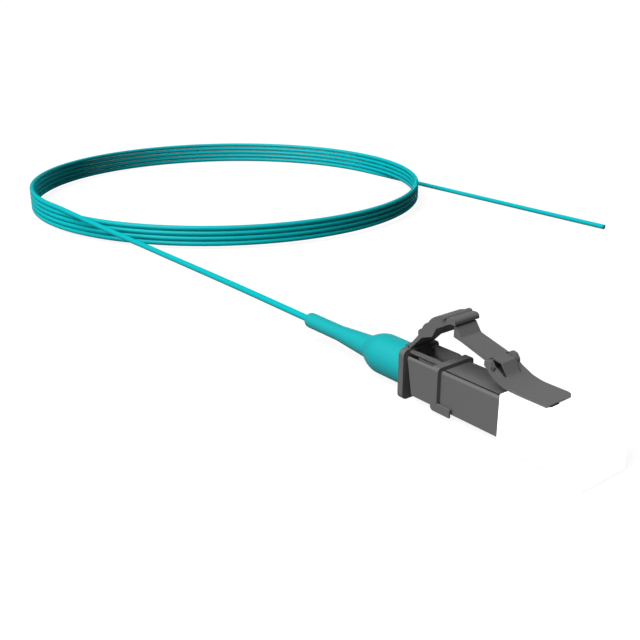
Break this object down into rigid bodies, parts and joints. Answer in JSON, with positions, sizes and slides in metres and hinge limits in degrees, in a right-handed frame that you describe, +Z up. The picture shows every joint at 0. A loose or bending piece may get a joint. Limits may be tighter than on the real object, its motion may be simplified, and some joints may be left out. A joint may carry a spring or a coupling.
{
  "type": "fiber optic patch cord",
  "caption": "Fibre optic cord with a square latching plug, dust cap and bend relief boot on a thin coiled cable; the other end is cut bare for splicing.",
  "frame": {"origin": "middle of the connector with its cap, from the boot's small end to the cap's front, on the surface it lies on", "axes": "+X the way the plug goes into its socket, +Z up on the latch side, +Y to the left, where the coil lies"},
  "size_m": [0.1632, 0.0827, 0.0114],
  "materials": {
    "black_plastic": "fine satin",
    "insert_plastic": "satin",
    "zirconia": "polished",
    "flange_metal": "nickel plated",
    "key_metal": "turned",
    "spring_steel": "drawn wire",
    "glass": "clear",
    "fibre_coating": "clear tinted",
    "guide_plastic": "smooth",
    "jacket": "smooth satin",
    "boot_rubber": "smooth satin",
    "cap_plastic": "translucent white satin"
  },
  "bodies": {
    "connector": {"plug_body": "black_plastic", "clip_frame": "black_plastic", "rear_body": "insert_plastic", "ferrule_spring": "spring_steel", "cable_in_boot": "jacket", "boot": "boot_rubber", "lead": "jacket", "coil": "jacket", "tail": "jacket"},
    "latch_arm": {"latch": "black_plastic"},
    "trigger_lever": {"trigger": "black_plastic"},
    "ferrule_group": {"ferrule": "zirconia", "ferrule_flange": "flange_metal", "flange_key": "key_metal", "glass_fibre": "glass", "coated_fibre": "fibre_coating", "guide_tube": "guide_plastic"},
    "cap": {"dust_cap": "cap_plastic"}
  },
  "joints": [
    {"name": "trigger_press", "type": "hinge", "parent": "connector", "child": "trigger_lever", "pos_m": [-0.00205, 0, 0.00625], "axis": [0, 1, 0], "range_deg": [0, 17], "stiffness_Nm_per_rad": 0.1},
    {"name": "latch_bend", "type": "hinge", "parent": "connector", "child": "latch_arm", "pos_m": [0.01245, 0, 0.00625], "axis": [0, -1, 0], "range_deg": [0, 11.1]},
    {"name": "ferrule_push", "type": "slide", "parent": "connector", "child": "ferrule_group", "axis": [-1, 0, 0], "range_m": [0, 0.0009], "stiffness_N_per_m": 1000, "springref_m": -0.001, "deforming": ["ferrule_spring"]},
    {"name": "cap_pull", "type": "slide", "parent": "connector", "child": "cap", "axis": [1, 0, 0], "range_m": [0, 0.02]}
  ],
  "couplings": [
    {"joint": "latch_bend", "follows": "trigger_press", "ratio": 0.65}
  ]
}
